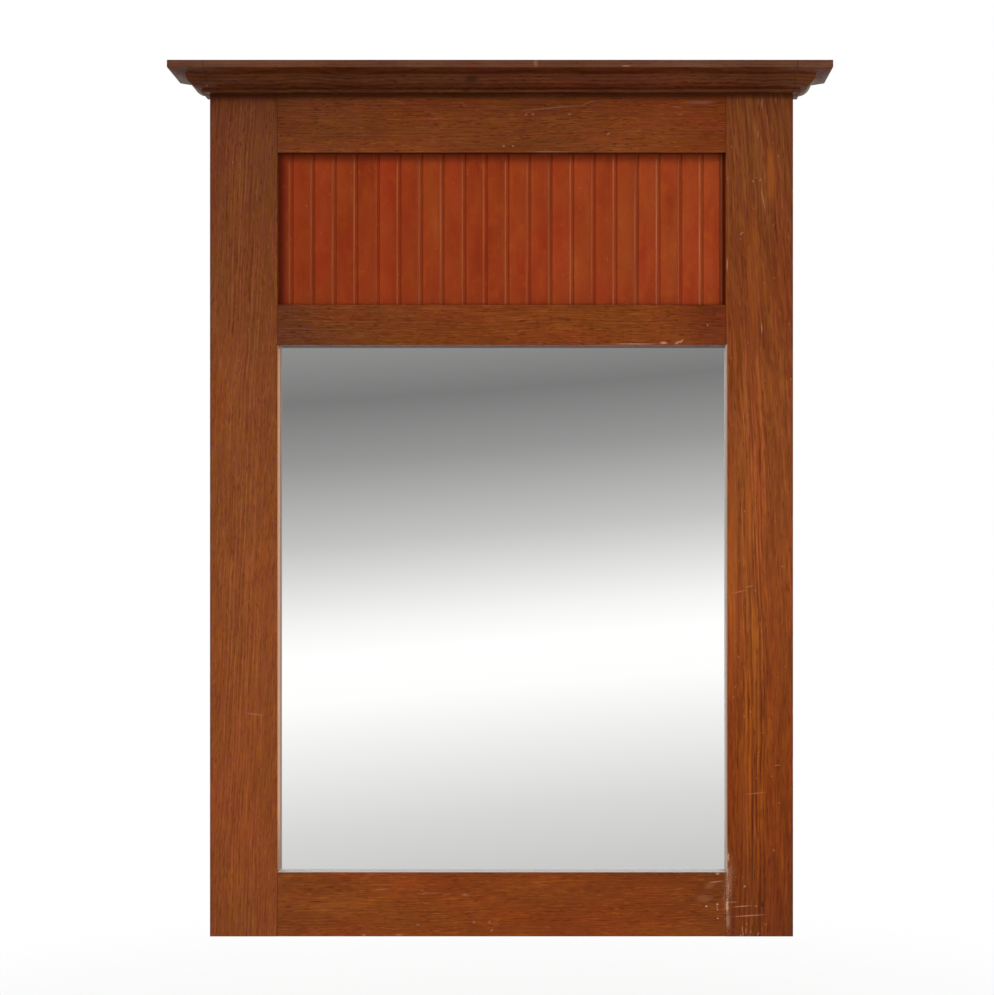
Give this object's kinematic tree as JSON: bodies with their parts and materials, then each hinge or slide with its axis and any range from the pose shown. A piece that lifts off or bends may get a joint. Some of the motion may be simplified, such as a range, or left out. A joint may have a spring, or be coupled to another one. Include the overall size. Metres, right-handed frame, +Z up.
{
  "type": "wall mirror",
  "caption": "Wall mirror in a stained oak frame: mitred crown moulding, a panel of beaded boards above a plain rectangular glass, and swinging ring hangers behind.",
  "frame": {"origin": "on the wall plane, midway between the two wall hooks, at the height where the raised hanger rings bear on them", "axes": "+X to the right as seen from the front, +Y towards the wall, +Z up; the glass faces -Y"},
  "size_m": [0.8604, 0.0763, 1.143],
  "materials": {
    "oak": "red-brown stain under a thin satin varnish, open grain",
    "dark_oak": "darker red-brown stain, satin",
    "red_stain": "smooth red stain, satin",
    "silvered_glass": "flat silvered glass",
    "plywood": "bare plywood",
    "pale_pine": "bare planed pine",
    "bright_steel": "plain wire nail",
    "zinc_steel": "zinc plated",
    "bumper_rubber": "matt black rubber"
  },
  "bodies": {
    "frame": {"left_stile": "oak", "right_stile": "oak", "top_rail": "oak", "middle_rail": "oak", "bottom_rail": "oak", "crown_front": "dark_oak", "crown_return_left": "dark_oak", "crown_return_right": "dark_oak", "bead_board_01": "red_stain", "bead_board_02": "red_stain", "bead_board_03": "red_stain", "bead_board_04": "red_stain", "bead_board_05": "red_stain", "bead_board_06": "red_stain", "bead_board_07": "red_stain", "bead_board_08": "red_stain", "bead_board_09": "red_stain", "bead_board_10": "red_stain", "bead_board_11": "red_stain", "bead_board_12": "red_stain", "mirror_pane": "silvered_glass", "backing_board": "plywood", "glazing_strip_left": "pale_pine", "glazing_strip_right": "pale_pine", "glazing_strip_top": "pale_pine", "glazing_strip_bottom": "pale_pine", "strip_brads": "bright_steel", "board_pins": "bright_steel", "crown_screws": "zinc_steel", "hanger_strap_left": "zinc_steel", "hanger_strap_right": "zinc_steel", "hanger_screws": "zinc_steel", "wall_bumper_left": "bumper_rubber", "wall_bumper_right": "bumper_rubber"},
    "ring_left": {"hanger_ring_left": "zinc_steel"},
    "ring_right": {"hanger_ring_right": "zinc_steel"}
  },
  "joints": [
    {"name": "ring_left_swing", "type": "hinge", "parent": "frame", "child": "ring_left", "pos_m": [-0.34045, -0.00268, -0.021], "axis": [1, 0, 0], "range_deg": [0, 180]},
    {"name": "ring_right_swing", "type": "hinge", "parent": "frame", "child": "ring_right", "pos_m": [0.34045, -0.00268, -0.021], "axis": [1, 0, 0], "range_deg": [0, 180]}
  ]
}
